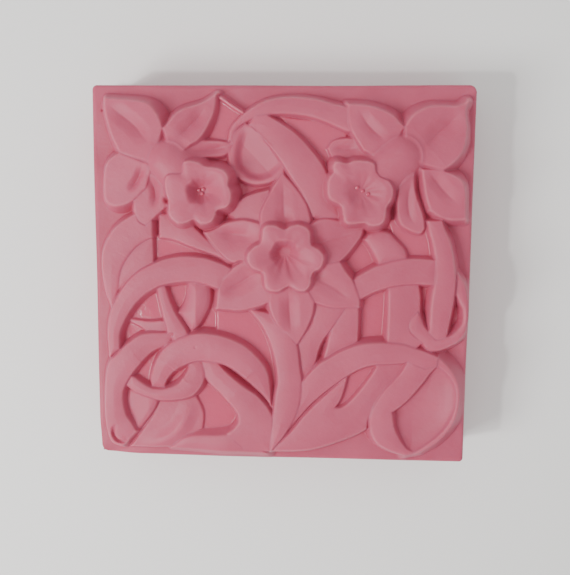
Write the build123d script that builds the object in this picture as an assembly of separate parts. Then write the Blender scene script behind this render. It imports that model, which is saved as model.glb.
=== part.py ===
"""Silicone soap mould: a square tray lying face up, daffodils and interlaced leaves raised on its face.

Frame: origin at the middle of the open rim, +Z out of the decorated face, +Y towards the top of the
design. All sizes are in millimetres.
"""
import os

from build123d import *

# Tray
FACE = 88.0           # side of the decorated face
RIM = 89.4            # side of the body at the open rim, wider by the draft
LIP = 92.4            # side of the stiffening lip round the rim
LIP_T = 2.5
CORNER_R = 2.5
GROUND = 20.0         # height of the flat ground between the leaves
CEILING = 16.0        # depth of the pour cavity
WALL = 3.0
CAVITY_R = 2.0
EDGE_R = 0.8          # rounded edge round the decorated face
RECESS = 2.0          # depth of the hollows behind the petals, inside the cavity
RECESS_SCALE = 0.7

# Folds and flowers
FOLD_DEPTH = 0.9      # depth of the crease along a petal
FOLD_HALF = 1.7       # half the width of that crease
MOUTH_FLOOR = 2.2     # floor of a trumpet's throat above the ground
THROAT_R = 1.2
STAMEN_R = 0.45
STAMEN_PCR = 0.65     # radius of the circle the stamens stand on
STAMEN_COUNT = 3
MIN_AREA = 0.6        # scraps smaller than this are left to the piece beside them

# Each outline is a list of runs. A run starts where the one before it ends; two points make a straight
# run and more make a smooth curve. "top" is the height above the ground and "bevel" the top chamfer.
TRUMPETS = {
    "left_trumpet": dict(
        top=8.0, mouth=(-18.3, 19.5), mouth_r=4.6,
        rim=[
            (-21.2, 26.2), (-18.4, 26.2), (-16.6, 25.3), (-13.7, 24.9), (-12.2, 24.2), (-11.4, 23),
            (-11.4, 21), (-10.8, 19.6), (-10.9, 17.6), (-11.7, 16.3), (-13.9, 15.5), (-14.4, 14.1),
            (-15.3, 12.9), (-17.5, 12.5), (-19.2, 13.4), (-20.7, 12.8), (-22.5, 12.5), (-24, 13.4),
            (-24.8, 14.8), (-24.8, 16.5), (-25.6, 21.4), (-25.1, 23), (-23.9, 23.5), (-21.9, 23.7)]),
    "right_trumpet": dict(
        top=8.0, mouth=(18, 20), mouth_r=4.4,
        rim=[
            (11.9, 25.6), (12.6, 26.5), (14.8, 26.1), (16.9, 26.7), (20.7, 26.1), (21.4, 24.2),
            (22.2, 23.2), (24.1, 22.3), (25, 20.8), (24.9, 18.4), (23.8, 16.5), (23.6, 14.5),
            (23.1, 13.2), (21.9, 12.5), (20.2, 12.5), (19, 13), (15.5, 12.8), (14.6, 13.4),
            (13.7, 16.7), (11.1, 18.5), (10.7, 21.7), (11.2, 23.1), (11.9, 24.1)]),
    "centre_trumpet": dict(
        top=8.0, mouth=(1.3, 5), mouth_r=4.2,
        rim=[
            (-3.5, 11.6), (-2.6, 12.3), (-0.9, 12.3), (1.2, 11.5), (2.7, 12.2), (4.4, 12.5),
            (6.1, 11.9), (6.9, 10.8), (7.2, 8.1), (8.9, 7), (10, 5.6), (9.9, 3.9), (9.2, 2.8), (7.9, 2),
            (7.3, 0.8), (7.1, -0.9), (6, -2.2), (4.3, -2.2), (2.3, -1.3), (0.1, -2.4), (-1.6, -2.4),
            (-2.9, -1.6), (-3.6, 1.6), (-5.9, 2.7), (-7, 4.3), (-6.9, 5.9), (-5.6, 7.4), (-4.1, 8.4)]),
}

# A flower's tube: a rounded swelling from its foot to the back of the trumpet.
TUBES = {
    "left_tube": dict(top=6.6, foot=(-25.6, 26.4), foot_r=4.6, back=(-20.5, 21), back_r=5, bevel=1.8),
    "right_tube": dict(top=6.6, foot=(27, 27.8), foot_r=4.6, back=(20, 21.4), back_r=4.8, bevel=1.8),
}

STAMENS = {
    "left_stamens": dict(mouth=(-18.3, 19.5), tip=5.6),
    "right_stamens": dict(mouth=(18, 20), tip=5.6),
}

PETALS = {
    "centre_petal_top": dict(top=5.6, fold=((0.6, 22), (1.3, 11)), runs=[
        [(0.5, 24), (-1.3, 21.3), (-4.2, 15.5), (-4.4, 12.5)], [(-2, 7)], [(5, 7)], [(6.9, 13.5)],
        [(6, 17), (3.6, 20.6), (0.5, 24)]]),
    "centre_petal_upper_right": dict(top=5.4, fold=((17, 10.8), (7, 7)), runs=[
        [(6, 12), (9.6, 13.7), (12.9, 13.6), (16.8, 12.5), (19.1, 12.1)], [(18.5, 10.1), (15.7, 6.2),
         (13.6, 4.1)], [(6, 3)], [(6, 12)]]),
    "centre_petal_lower_right": dict(top=5.6, fold=((16.8, -5), (8, 1)), runs=[
        [(13.6, 4.1), (15.1, 1.9), (16.8, -0.4), (18.3, -4.6), (18.3, -6.3)], [(11.9, -6.4), (7.5, -5)],
        [(4, 0)], [(6, 3)], [(13.6, 4.1)]]),
    "centre_petal_bottom": dict(top=5.8, fold=((3.6, -13), (2.2, -2)), runs=[
        [(-2.3, -4), (-2.2, -6.3), (-0.3, -10.9), (1.8, -12.7), (4.1, -15.4)], [(6, -12.1), (7.7, -7.8),
         (8, -5)], [(5, 0)], [(-1, 0)], [(-2.3, -4)]]),
    "centre_petal_lower_left": dict(top=5.6, fold=((-12.6, -5.4), (-4, 0.4)), runs=[
        [(-8, 4.2), (-10.8, 2.2), (-13.7, -1.4), (-14.6, -7.1)], [(-9.2, -7.4), (-5.8, -6.7),
         (-2.2, -5.4)], [(-1, 0)], [(-5, 4)], [(-8, 4.2)]]),
    "centre_petal_upper_left": dict(top=5.2, fold=((-15.5, 10.6), (-5, 8)), runs=[
        [(-17.4, 10.4), (-15, 11.2), (-12.7, 12.4), (-8.5, 13.3), (-4.4, 12.5)], [(-3, 7)], [(-6, 3)],
        [(-8.8, 4.2), (-10.4, 3.7), (-12.4, 4.6), (-16, 8.4), (-17.4, 10.4)]]),
    "left_petal_1": dict(top=5.2, fold=((-38.3, 38.7), (-29.8, 30.8)), runs=[
        [(-26.5, 33.8), (-27.8, 36.8), (-30.2, 39.3), (-40, 40.6)], [(-40.1, 38.5), (-38.4, 32.3),
         (-36.5, 28.3)], [(-29, 26)], [(-26.5, 33.8)]]),
    "left_petal_2": dict(top=5.0, fold=((-17.6, 37.6), (-22.4, 31.6)), runs=[
        [(-26.5, 33.8), (-25.5, 34.6), (-24.2, 36.4), (-22.5, 37.8), (-17.6, 39.6), (-14.6, 41.6)],
        [(-15.3, 36.9), (-18.3, 31.5), (-20.2, 30.2)], [(-24, 27)], [(-26.5, 33.8)]]),
    "left_petal_3": dict(top=3.8, fold=((-12.5, 29.4), (-19, 28.7)), runs=[
        [(-22, 31.4), (-13, 31), (-10.8, 30.6)], [(-12.5, 28.1), (-17.7, 27.3), (-22, 26.5)],
        [(-22, 31.4)]]),
    "left_petal_4": dict(top=5.2, fold=((-38.5, 21), (-31, 24.5)), runs=[
        [(-36.5, 28.3), (-38.5, 27), (-39.7, 25.4), (-40.2, 18.4), (-39.4, 16.8), (-38, 16.2),
         (-35.9, 16.5), (-33.5, 17.6)], [(-30.5, 20.5)], [(-29, 25.5)], [(-36.5, 28.3)]]),
    "left_petal_5": dict(top=4.8, fold=((-31, 13.4), (-28.8, 20.5)), runs=[
        [(-33.5, 17.5), (-33.4, 14.9), (-32.4, 12.6), (-30.9, 11.8)], [(-27.7, 14.8), (-25.2, 16.8)],
        [(-25, 22)], [(-31, 24)], [(-33.5, 17.5)]]),
    "right_petal_1": dict(top=5.2, fold=((17.2, 37.6), (22.5, 31.6)), runs=[
        [(27.5, 34.2), (26.3, 35.3), (24.9, 36.8), (20.1, 38.8), (14.8, 39.3)], [(15.5, 34.3),
         (18.6, 29)], [(23, 27)], [(27.5, 34.2)]]),
    "right_petal_2": dict(top=5.4, fold=((39.5, 37.4), (31.9, 30.8)), runs=[
        [(27.5, 34.2), (29, 36.5), (31.1, 38), (33.6, 38.8), (39.5, 39), (41.6, 40.2)], [(40.9, 38),
         (41.2, 34.1), (41, 31), (40.1, 28.5), (38.6, 26.6), (36.2, 24.8)], [(32, 26)], [(28, 28)],
        [(27.5, 34.2)]]),
    "right_petal_3": dict(top=5.2, fold=((41, 16), (33.5, 22.3)), runs=[
        [(36.2, 24.8), (40, 23), (41.1, 21.3), (41.8, 13.9)], [(38.5, 13.8), (36, 14.4), (33.7, 15.9)],
        [(32.6, 19), (31.5, 25)], [(36.2, 24.8)]]),
    "right_petal_4": dict(top=5.0, fold=((29.6, 12.6), (28.8, 21)), runs=[
        [(28, 23.5), (26.5, 20), (26.8, 13.8), (28.1, 12), (31.8, 10.8), (32.6, 11.8)], [(32.3, 14.2),
         (30.1, 20.3), (29.8, 24)], [(28, 23.5)]]),
    "right_petal_5": dict(top=4.0, fold=((11, 29.2), (19, 28.6)), runs=[
        [(10.5, 29.6), (11.7, 31.2), (16.2, 31.8), (18.5, 31)], [(20, 26)], [(12.1, 27.1), (10.5, 29.6)]]),
}

# Ribbons and leaves, uppermost first: each one hides what crosses beneath it.
LEAVES = {
    "arch_leaf": dict(top=5.0, bevel=0.6, runs=[
        [(-30.1, -26), (-30.3, -24), (-26.6, -16.4), (-20.4, -13.3), (-13.4, -13.5), (-7.6, -16),
         (-3.7, -20), (-2.5, -22.6), (-1.6, -30.5)], [(-3.7, -27.4), (-11.8, -20.5), (-16.8, -19.4),
         (-20, -19.7), (-24.4, -21.9), (-26.4, -24.3), (-27, -26.2)], [(-30.1, -26)]]),
    "hook_leaf": dict(top=4.6, bevel=0.8, runs=[
        [(-34.9, -23.5), (-29.9, -26.4), (-24.4, -25.6), (-21.7, -22.5), (-21.1, -20)], [(-18.4, -19)],
        [(-17.6, -22), (-17.6, -24.1), (-19.7, -27.5), (-21.7, -28.5), (-28.2, -29.1), (-34, -27.5),
         (-36.3, -25.9)], [(-34.9, -23.5)]]),
    "central_stem": dict(top=4.6, bevel=0.6, runs=[
        [(-7.5, -6.9), (-3.9, -11.3), (-1.6, -16.3), (-0.2, -24), (-0.7, -27), (-1.6, -35),
         (-1.9, -41)], [(0.9, -37.6), (4.5, -30.8), (5.3, -23.6), (4.9, -20.9), (4.2, -15.5), (2, -9)],
        [(-7.5, -6.9)]]),
    "diagonal_stem": dict(top=4.4, bevel=0.8, runs=[
        [(-15.4, -18.6), (-12.6, -22), (-7.7, -25.9), (-5.1, -27.6), (-1.6, -32), (-1, -35),
         (-1.9, -41)], [(-8, -41)], [(-12.1, -37)], [(-10.4, -35.6), (-9.4, -33.9), (-9.6, -32.1),
         (-13.1, -27.8), (-17.3, -23.6), (-18.1, -20)], [(-17.5, -18.6)], [(-15.4, -18.6)]]),
    "loop_hook": dict(top=4.6, bevel=0.35, runs=[
        [(40.1, 2.4), (42.5, -1.8), (41.9, -12.8), (35.4, -16.2), (33.8, -15.6), (32.6, -14.2),
         (30, -11.9), (29.6, -10.2), (30.3, -8.5), (31.6, -7.2)], [(32.3, -8.4), (32.9, -9.9),
         (35.6, -12.6), (39.2, -12.5), (41.7, -9.8), (41.8, -6.5), (41, -4.9), (40.1, -3)],
        [(40.1, 2.4)]]),
    "lower_right_arch": dict(top=5.0, bevel=0.8, runs=[
        [(5, -24.4), (9, -20), (11.6, -18.3), (13.8, -16.9), (19, -14.9), (28.1, -14.6), (30.4, -15.3),
         (34.7, -16.7), (36.6, -17.6)], [(36.4, -19.6)], [(33.5, -20.4)], [(29.5, -18.8)],
        [(28.4, -19.1), (21.7, -19.6), (19.4, -20.3), (16.8, -21.7), (8.5, -28.4), (2.5, -35.5)],
        [(5, -24.4)]]),
    "loop_left": dict(top=4.6, bevel=0.5, runs=[
        [(29.8, -18.2), (28.3, -21.1), (23.5, -26.9), (21.5, -31.1), (21.2, -33.5), (21.7, -36),
         (23.2, -38.5), (26, -40.2), (29.8, -41.4)], [(32, -40.6)], [(30, -39.5), (27.2, -35),
         (26.4, -30.8)], [(29.5, -28.2), (33.6, -23.2), (34.9, -21.3), (36.3, -19.8)], [(36.6, -17.6)],
        [(29.8, -18.2)]]),
    "loop_right": dict(top=4.6, bevel=0.0, runs=[
        [(36.6, -17.4), (40, -21.1), (41.2, -23.4), (41.7, -26), (40.9, -32), (37.6, -37.2),
         (33, -40.6)], [(29.8, -41.4)], [(33, -39.7), (38.8, -34.3), (40.9, -28.9), (40.4, -23.8),
         (37.5, -20.4), (36, -19.6)], [(36.6, -17.4)]]),
    "loop_bowl": dict(top=2.6, bevel=0.0, runs=[
        [(36.6, -18.6), (39.9, -21.7), (41, -24), (41, -31), (39.4, -34.7), (33, -40.4), (30.8, -41.2)],
        [(24, -37)], [(22, -30)], [(30, -20)], [(36.6, -18.6)]]),
    "long_leaf": dict(top=4.2, bevel=0.6, runs=[
        [(-1.7, -41), (3, -36), (7, -31), (16, -22.3)], [(14.6, -27.6), (13.2, -30.2)], [(15.3, -29.7),
         (21.3, -22.4), (22.8, -19.6)], [(29.5, -18.6)], [(27.5, -22.7), (23.3, -28.5), (21, -32.6),
         (20.6, -35)], [(18.1, -36.5), (9, -40), (4.2, -40.8), (-1.7, -41)]]),
    "blade_inner": dict(top=4.2, bevel=0.6, runs=[
        [(8, -5), (8, -8.5), (7, -11.4), (4.6, -14.5), (4.8, -19), (5.2, -24.5)], [(8.5, -19.6)],
        [(9.3, -16.1), (10.5, -13.6), (11.6, -12.2), (15.5, -6.2)], [(8, -5)]]),
    "blade_outer": dict(top=4.0, bevel=0.6, runs=[
        [(15.5, -6.2), (11.8, -12.4), (11.1, -15.7), (10.2, -19)], [(18.2, -14.3)], [(18.2, -6.2)],
        [(15.5, -6.2)]]),
    "cross_ribbon": dict(top=4.4, bevel=0.7, runs=[
        [(15.5, -1), (18, 0.8), (22.8, 3.4), (28.6, 4.9), (35.2, 4.8)], [(35.8, -1.1)], [(32.3, -0.8),
         (26.8, -1.2), (21.4, -2.9), (17, -5.5)], [(15.5, -1)]]),
    "right_stem": dict(top=4.6, bevel=0.8, runs=[
        [(33.2, 13.5), (33.7, 11.2), (34.6, 8.2), (35.4, 2.6), (34.6, -5), (34.3, -12)], [(36, -13.6),
         (38.3, -13)], [(39.8, -2.4), (39.6, 2.8), (38.4, 9), (37.3, 11.4), (36.6, 13.7)],
        [(33.2, 13.5)]]),
    "inner_stem": dict(top=4.2, bevel=0.6, runs=[
        [(24.9, -0.5), (25, -8), (24.8, -15)], [(31, -16.2)], [(34.2, -12.6), (33.2, -10.2),
         (32.3, -7.6), (32.2, -4), (31.8, -0.5)], [(24.9, -0.5)]]),
    "dome_leaf": dict(top=4.0, bevel=0.6, runs=[
        [(22.6, 3.4), (20.8, 6.9), (19.3, 9.1)], [(20.5, 10.6), (22.6, 11.3), (24.7, 10.8), (26.6, 9),
         (28.3, 7.2), (29.6, 4.4)], [(22.6, 3.4)]]),
    "top_arch": dict(top=3.8, bevel=0.45, runs=[
        [(-12, 31.2), (-11.6, 33.6), (-10, 35.8), (-4.2, 39.7), (1.2, 40.8), (7.6, 40.4), (11.6, 39.4),
         (15.4, 38.6)], [(15.8, 33)], [(7, 36.4), (0.6, 37.2), (-4.5, 36.7), (-8.6, 35), (-10.3, 33.4),
         (-10.9, 31.2)], [(-12, 31.2)]]),
    "broad_leaf": dict(top=4.6, bevel=0.8, runs=[
        [(-2.7, 36.7), (5.2, 31.2), (7.7, 28.5), (11.5, 22)], [(13.5, 14)], [(7.5, 14)], [(5.4, 19.6),
         (1.3, 25.6), (-1.9, 30.2), (-6.9, 34.4)], [(-5.4, 36.6)], [(-2.7, 36.7)]]),
    "pool_floor": dict(top=1.2, bevel=0.0, runs=[
        [(-8.6, 35.2), (-10, 32), (-10.9, 28.4), (-10.4, 25), (-8, 22.7), (-5, 21.9), (-2, 22.7),
         (0.6, 24.9)], [(3.5, 28)], [(-4, 37)], [(-8.6, 35.2)]]),
    "pool_rim": dict(top=3.4, bevel=0.5, runs=[
        [(-8, 35), (-10.9, 32.5), (-11.7, 25.6), (-9.9, 23), (-6.1, 21.5), (-2.4, 21.9), (1, 23.4)],
        [(0.5, 27)], [(-6.9, 34.6)], [(-8, 35)]]),
    "side_leaf": dict(top=4.0, bevel=0.5, runs=[
        [(-11.8, 14.4), (-8.7, 18.1), (-2.5, 20.2)], [(-3, 12)], [(-9, 13.2), (-11.8, 14.4)]]),
    "big_arc": dict(top=4.8, bevel=0.9, runs=[
        [(-9, 1.5), (-11, 2.2), (-13.4, 3.3), (-18.3, 4.7), (-25, 4.5), (-32.7, 1.2), (-37.3, -4),
         (-39.9, -10.8), (-39.9, -19)], [(-37.5, -17)], [(-37.3, -12.9), (-33.3, -5.9), (-28.2, -2.2),
         (-21.9, -0.9), (-18.4, -1.2), (-14, -2.5)], [(-9, 1.5)]]),
    "lower_left_ring": dict(top=4.4, bevel=0.6, runs=[
        [(-24.5, -13), (-31.4, -13.4), (-34.1, -14.7), (-39.3, -19.5), (-40.6, -22.5), (-40.2, -39.6),
         (-37.5, -41)], [(-33.9, -37.2)], [(-35.3, -34.8), (-36.4, -33.1), (-37, -27.9), (-35.4, -24.1),
         (-30.8, -18.4), (-28.7, -17), (-26, -16.1)], [(-24.5, -13)]]),
    "outer_arc": dict(top=4.0, bevel=0.6, runs=[
        [(-33.3, 14.6), (-37, 12.2), (-38.8, 10.4), (-41.1, 5.6), (-40.8, -3), (-39.3, -7.7)],
        [(-37.7, -3)], [(-37.1, 1.2), (-34.6, 5.5), (-32.2, 7.7), (-29.4, 9.2)], [(-29.4, 14)],
        [(-33.3, 14.6)]]),
    "inner_arc": dict(top=3.6, bevel=0.6, runs=[
        [(-29.4, 9.2), (-32.2, 7.7), (-34.6, 5.5), (-37.1, 1.2), (-38, -3.5)], [(-32.7, 0.5),
         (-29.2, 2.6)], [(-29.4, 9.2)]]),
    "wedge_leaf": dict(top=3.6, bevel=0.0, runs=[
        [(-27.9, 14.6), (-22, 14.6)], [(-19.1, 11), (-15.4, 7.6), (-12.6, 5), (-10.2, 3.5)],
        [(-11.6, 3.4), (-14, 4.8), (-20, 6.9), (-25.3, 8.8), (-27.9, 9.1)], [(-27.9, 14.6)]]),
    "slant_stem": dict(top=3.8, bevel=0.5, runs=[
        [(-28.8, -1.5), (-28.5, -3.6), (-26, -13.3)], [(-24, -15.6)], [(-20.8, -13.9)], [(-24.6, -7.9),
         (-25.9, -4.9), (-26.8, -1.5)], [(-28.8, -1.5)]]),
    "drop_leaf": dict(top=3.6, bevel=0.6, runs=[
        [(-21.6, -0.6), (-21.8, -4.2), (-22.8, -6.7), (-24.3, -8.4)], [(-22.9, -9.9), (-20.6, -12.9)],
        [(-18.9, -11.5), (-16.1, -6.1), (-16, -0.8)], [(-21.6, -0.6)]]),
    "thin_rib": dict(top=2.4, bevel=0.3, runs=[
        [(-35.6, -10), (-30.7, -10.6), (-27, -10.3)], [(-25.5, -13.2)], [(-31, -13.1), (-32.7, -12.1),
         (-35.2, -11)], [(-35.6, -10)]]),
    "corner_leaf": dict(top=3.6, bevel=0.5, runs=[
        [(-28.4, -29), (-29.6, -32.2), (-35.8, -41.3)], [(-30, -41.3), (-25, -41)], [(-21.5, -38.3),
         (-18.2, -36.4)], [(-18, -32.3), (-20.4, -27)], [(-28.4, -29)]]),
    "corner_strip": dict(top=2.8, bevel=0.4, runs=[
        [(-35.4, -25.6), (-36.6, -30), (-34, -37.6)], [(-29.5, -31.5), (-28.4, -29)], [(-29, -27.4)],
        [(-35.4, -25.6)]]),
    "bottom_leaf": dict(top=3.8, bevel=0.5, runs=[
        [(-9, -36), (-12.8, -37.3), (-20.5, -37.9), (-23.2, -38.8), (-25.8, -41.2)], [(-3, -41.6)],
        [(-9, -36)]]),
}


def outline(runs):
    """Face inside a closed chain of runs."""
    edges = []
    last = runs[0][0]
    for run in runs:
        points = run if run[0] == last else [last] + run
        edges.append(Line(*points) if len(points) == 2 else Spline(*points))
        last = points[-1]
    return make_face(edges)


def lobed(points):
    """Face inside a closed smooth curve."""
    return make_face([Spline(*points, periodic=True)])


def capsule(spec):
    """Face of a tube: the hull of its foot and its back."""
    ends = [Pos(*spec[key]) * Circle(spec[key + "_r"]) for key in ("foot", "back")]
    return make_hull([edge for end in ends for edge in end.edges()])


def raise_face(face, top):
    """Solid standing on the ground over a face."""
    return extrude(Pos(0, 0, GROUND) * face, amount=top)


def bevelled(solid, top, bevel):
    """The solid with the edges of its top face chamfered."""
    edges = solid.edges().filter_by_position(Axis.Z, GROUND + top - 0.01, GROUND + top + 0.01)
    return chamfer(edges, bevel) if bevel else solid


def creased(solid, top, fold):
    """The solid with a V-shaped crease cut along the line between the fold's two points."""
    start, end = Vector(*fold[0]), Vector(*fold[1])
    along = (end - start).normalized()
    profile = Polygon((-FOLD_HALF, 0.01), (FOLD_HALF, 0.01), (0, -FOLD_DEPTH), align=None)
    plane = Plane(origin=start + Vector(0, 0, GROUND + top), x_dir=Vector(-along.Y, along.X, 0), z_dir=along)
    return solid - extrude(plane * profile, amount=(end - start).length)


def whole_piece(spec, face):
    """The solid of one piece as if nothing crossed over it."""
    solid = raise_face(face, spec["top"])
    if "fold" in spec:
        return creased(solid, spec["top"], spec["fold"])
    if "mouth" in spec:
        depth = spec["top"] - MOUTH_FLOOR
        funnel = Cone(THROAT_R, spec["mouth_r"], depth + 0.01, align=(Align.CENTER, Align.CENTER, Align.MIN))
        return solid - Pos(*spec["mouth"], GROUND + MOUTH_FLOOR) * funnel
    return bevelled(solid, spec["top"], spec["bevel"])


def build_relief():
    """Every raised piece, uppermost first, each cut back to what the ones above it leave."""
    order = [(name, spec, lobed(spec["rim"])) for name, spec in TRUMPETS.items()]
    order += [(name, spec, capsule(spec)) for name, spec in TUBES.items()]
    order += [(name, spec, outline(spec["runs"])) for name, spec in (PETALS | LEAVES).items()]
    built, covered = {}, None
    for name, spec, face in order:
        solid = whole_piece(spec, face)
        if covered is None:
            covered = face
        else:
            solid -= [raise_face(hidden, spec["top"]) for hidden in (face & covered).faces()]
            covered += face
        smallest = MIN_AREA * spec["top"]
        built[name] = Compound([part for part in solid.solids() if part.volume > smallest])
    return built


def build_stamens(spec):
    """Short filaments with round tips standing in a ring on the throat's floor."""
    height = spec["tip"] - MOUTH_FLOOR - STAMEN_R
    stamen = Cylinder(STAMEN_R, height, align=(Align.CENTER, Align.CENTER, Align.MIN))
    stamen += Pos(0, 0, height) * Sphere(STAMEN_R)
    ring = PolarLocations(STAMEN_PCR, STAMEN_COUNT)
    throat = Pos(*spec["mouth"], GROUND + MOUTH_FLOOR)
    return Compound([throat * place * stamen for place in ring])


def build_tray():
    """Open box with a lip round its rim, its closed face upwards, and hollows behind the petals."""
    draft = (RIM - FACE) / 2
    body = loft([RectangleRounded(RIM, RIM, CORNER_R),
                 Pos(0, 0, GROUND) * RectangleRounded(FACE, FACE, CORNER_R)])
    body = fillet(body.edges().filter_by_position(Axis.Z, GROUND - 0.01, GROUND + 0.01), EDGE_R)
    body += extrude(RectangleRounded(LIP, LIP, CORNER_R + draft), amount=LIP_T)
    mouth = RIM - 2 * WALL
    shrink = 2 * draft * CEILING / GROUND
    body -= loft([RectangleRounded(mouth, mouth, CAVITY_R),
                  Pos(0, 0, CEILING) * RectangleRounded(mouth - shrink, mouth - shrink, CAVITY_R)])
    for spec in PETALS.values():
        petal = outline(spec["runs"])
        shift = petal.center() * (1 - RECESS_SCALE)
        hollow = Pos(shift.X, shift.Y, CEILING) * scale(petal, by=RECESS_SCALE)
        body -= extrude(hollow, amount=RECESS)
    return body


def main():
    os.makedirs("parts", exist_ok=True)
    shapes = {"mould_tray": build_tray()} | build_relief()
    shapes |= {name: build_stamens(spec) for name, spec in STAMENS.items()}
    for name, shape in shapes.items():
        export_step(shape, f"parts/{name}.step")
        print(name, len(shape.solids()), round(shape.volume, 1))


main()
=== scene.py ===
"""Silicone soap mould: sculpted relief of daffodils and leaves over an open-backed tray."""

import bpy
import numpy as np
from mathutils import Matrix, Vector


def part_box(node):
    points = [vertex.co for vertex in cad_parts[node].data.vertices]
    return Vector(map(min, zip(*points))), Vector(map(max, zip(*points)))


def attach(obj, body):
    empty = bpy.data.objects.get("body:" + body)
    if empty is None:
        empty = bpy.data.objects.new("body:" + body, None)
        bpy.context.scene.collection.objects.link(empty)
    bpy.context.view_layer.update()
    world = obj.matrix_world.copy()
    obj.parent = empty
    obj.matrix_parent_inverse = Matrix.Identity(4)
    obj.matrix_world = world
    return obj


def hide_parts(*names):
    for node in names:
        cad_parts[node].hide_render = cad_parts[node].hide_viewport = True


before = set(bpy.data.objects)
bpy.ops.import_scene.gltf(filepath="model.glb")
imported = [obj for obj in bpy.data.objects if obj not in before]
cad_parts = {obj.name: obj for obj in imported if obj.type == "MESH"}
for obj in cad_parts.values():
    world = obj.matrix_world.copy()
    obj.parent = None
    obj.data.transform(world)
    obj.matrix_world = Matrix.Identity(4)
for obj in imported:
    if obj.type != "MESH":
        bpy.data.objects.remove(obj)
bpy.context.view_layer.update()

MM = 0.001
_, TRAY_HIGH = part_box("mould_tray")
GROUND = TRAY_HIGH[2]                  # the flat ground between the leaves

# Relief grid, in millimetres from the middle of the face
HALF = 43.05
STEP = 0.15
SOFTEN = 0.10                          # blur that rounds every edge, as a cast has
JOIN = 0.35                            # radius of the soft valley where a wall meets what it stands on
LEAF_SLOPE, PETAL_SLOPE = 2.6, 2.3     # how steep the walls of the leaves and the petals are
ROLL, DROP = 0.5, 0.2                  # the usual rounding of an edge: how far in, how deep
FLOOR_RAMP = 0.8                       # width of the slope up to a gap's floor
CREASE_DEEP, CREASE_WIDE = 0.14, 0.35  # the fine line at the bottom of a fold
FOLD_FADE = 2.5                        # a fold fades in over 1 / this of its length, and out again
WAVER_SEED, WAVER_SIZE, WAVER_HIGH = 7, 2.2, 0.05    # slow unevenness of the whole surface
# The hollow and crest blurs set where the material puts painted shade in hollows and a painted highlight on
# crests; the gap level sets where it puts a painted red glow on the gap floors.
HOLLOW_REACH, CREST_REACH, CREST_GAIN = 0.9, 0.4, 1.8    # blurs that tell hollows and crests; crests' weight
GAP_LEVEL, GAP_SOFT = 1.0, 0.6         # ground above this level is a gap's floor; blur of its border

# The gaps between leaves are not cut down to the border's ground: outline, level.
FLOORS = [
    ([(-40, 6), (-38.6, -12), (-39.5, -27), (-37, -38.5), (-24, -40), (-5, -40), (10, -37), (24, -35),
      (31, -39.5), (37.5, -37), (40.5, -28), (37.5, -19), (41.5, -12), (42.4, -6), (38, 5), (37, 17),
      (36, 30), (22, 35), (12, 38), (3, 39), (-8, 37), (-9.4, 38.3), (-13.6, 40.8), (-18, 36),
      (-25, 31), (-30, 33), (-36, 22), (-31, 17), (-36, 10)], 1.5),
    ([(-29, 10), (-14, 8), (-9, 3), (-18, 2), (-29, 1)], 2.2),
    ([(-15, -4), (-4, -4), (2, -24), (-1, -32), (-6, -22), (-15, -16)], 2.3),
    ([(9, -28), (20, -18), (25, -18), (18, -29), (13, -32)], 2.6),
    ([(-1, 37), (16, 35), (12, 24), (6, 30)], 2.0),
    ([(24, 14), (34, 14), (35, 4), (28, 4)], 2.2),
]
# Fine ribs and pits: line or place, height, width
RIBS = [([(-13.8, 40.8), (-11.2, 39.0), (-8.6, 37.4)], 2.6, 0.7)]
PITS = [(-41.5, 38.2, -0.5, 0.28), (-19.5, -16.2, -0.15, 0.25), (-25.6, 17.7, -1.2, 0.7)]

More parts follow.
